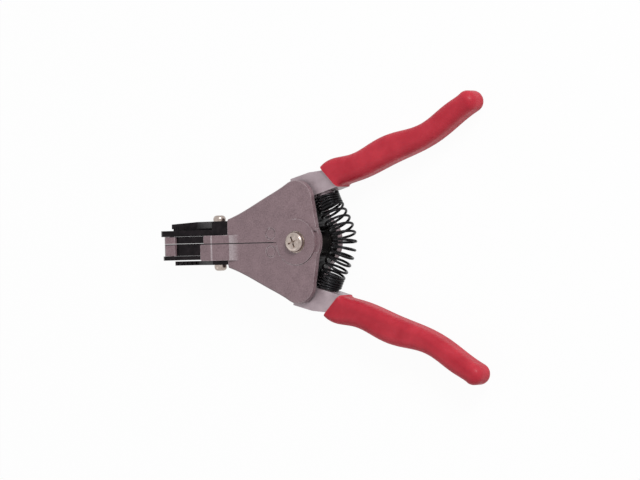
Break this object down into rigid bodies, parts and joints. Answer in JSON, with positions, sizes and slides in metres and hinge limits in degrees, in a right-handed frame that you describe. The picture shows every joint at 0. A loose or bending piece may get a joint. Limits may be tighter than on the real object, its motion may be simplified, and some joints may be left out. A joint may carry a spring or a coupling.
{
  "type": "automatic wire stripper",
  "caption": "Hand wire stripper with two pivoting castings, gripping and stripping jaws, a bowed return spring and red dipped handles that clamp, cut and pull insulation in one squeeze.",
  "frame": {"origin": "main pivot axis where it meets the far (resting) face of the body", "axes": "+X towards the handles, +Y towards the gripping side, +Z along the pivot axis towards the screw head"},
  "size_m": [0.1738, 0.1326, 0.0224],
  "materials": {
    "casting": "mottled grey enamel over die casting, satin",
    "lever": "bare grey die casting, satin",
    "vinyl": "red dipped vinyl, semi-gloss",
    "black_steel": "black oxide steel, satin",
    "zinc": "zinc plated steel, bright",
    "spring_steel": "black spring steel, oiled",
    "pin_steel": "ground steel"
  },
  "bodies": {
    "pivot": {"main_pivot_screw": "zinc", "pivot_sleeve_nut": "zinc", "pivot_washer": "zinc", "handle_spring": "spring_steel", "frame_closing_spring": "spring_steel"},
    "grip_frame": {"grip_side_frame": "casting", "grip_side_handle_pin": "pin_steel", "grip_jaw_pin": "pin_steel", "fixed_gripper_plate": "black_steel", "fixed_gripper_screw": "zinc", "grip_jaw_opening_spring": "spring_steel", "grip_side_spring_anchor_pin": "pin_steel"},
    "blade_frame": {"blade_side_frame": "casting", "blade_side_handle_pin": "pin_steel", "blade_jaw_pin": "pin_steel", "fixed_stripping_blade": "black_steel", "fixed_blade_screw": "zinc", "blade_jaw_opening_spring": "spring_steel", "blade_side_spring_anchor_pin": "pin_steel"},
    "grip_handle": {"grip_side_handle_lever": "lever", "grip_side_handle_sleeve": "vinyl"},
    "blade_handle": {"blade_side_handle_lever": "lever", "blade_side_handle_sleeve": "vinyl"},
    "grip_jaw": {"grip_jaw_lever": "black_steel", "grip_jaw_nose": "casting", "moving_gripper_plate": "black_steel", "grip_jaw_front_rivet": "pin_steel", "grip_jaw_rear_rivet": "pin_steel"},
    "blade_jaw": {"blade_jaw_lever": "black_steel", "blade_jaw_nose": "casting", "moving_stripping_blade": "black_steel", "blade_jaw_front_rivet": "pin_steel", "blade_jaw_rear_rivet": "pin_steel"},
    "slider": {"thrust_slider": "pin_steel"}
  },
  "joints": [
    {"name": "frame_spread", "type": "hinge", "parent": "pivot", "child": "grip_frame", "pos_m": [0, 0, 0.01], "axis": [0, 0, -1], "range_deg": [0, 12], "stiffness_Nm_per_rad": 0.5, "springref_deg": -5.73, "deforming": ["handle_spring", "frame_closing_spring"]},
    {"name": "frame_spread_blade_side", "type": "hinge", "parent": "pivot", "child": "blade_frame", "pos_m": [0, 0, 0.01], "axis": [0, 0, 1], "range_deg": [0, 12]},
    {"name": "handle_squeeze", "type": "hinge", "parent": "grip_frame", "child": "grip_handle", "pos_m": [0, 0.0195, 0.01], "axis": [0, 0, -1], "range_deg": [0, 12], "stiffness_Nm_per_rad": 0.5, "springref_deg": -5.73},
    {"name": "handle_squeeze_blade_side", "type": "hinge", "parent": "blade_frame", "child": "blade_handle", "pos_m": [0, -0.0195, 0.01], "axis": [0, 0, 1], "range_deg": [0, 12]},
    {"name": "slider_thrust", "type": "slide", "parent": "pivot", "child": "slider", "axis": [-1, 0, 0], "range_m": [0, 0.0029]},
    {"name": "grip_jaw_close", "type": "hinge", "parent": "grip_frame", "child": "grip_jaw", "pos_m": [-0.026, 0.004, 0.0106], "axis": [0, -1, 0], "range_deg": [0, 6]},
    {"name": "blade_jaw_close", "type": "hinge", "parent": "blade_frame", "child": "blade_jaw", "pos_m": [-0.026, -0.004, 0.0106], "axis": [0, -1, 0], "range_deg": [0, 6]}
  ],
  "couplings": [
    {"joint": "frame_spread_blade_side", "follows": "frame_spread", "ratio": 1},
    {"joint": "handle_squeeze_blade_side", "follows": "handle_squeeze", "ratio": 1},
    {"joint": "slider_thrust", "follows": "handle_squeeze", "m_per_rad": 0.013846},
    {"joint": "grip_jaw_close", "follows": "handle_squeeze", "ratio": 0.5},
    {"joint": "blade_jaw_close", "follows": "handle_squeeze", "ratio": 0.5}
  ]
}
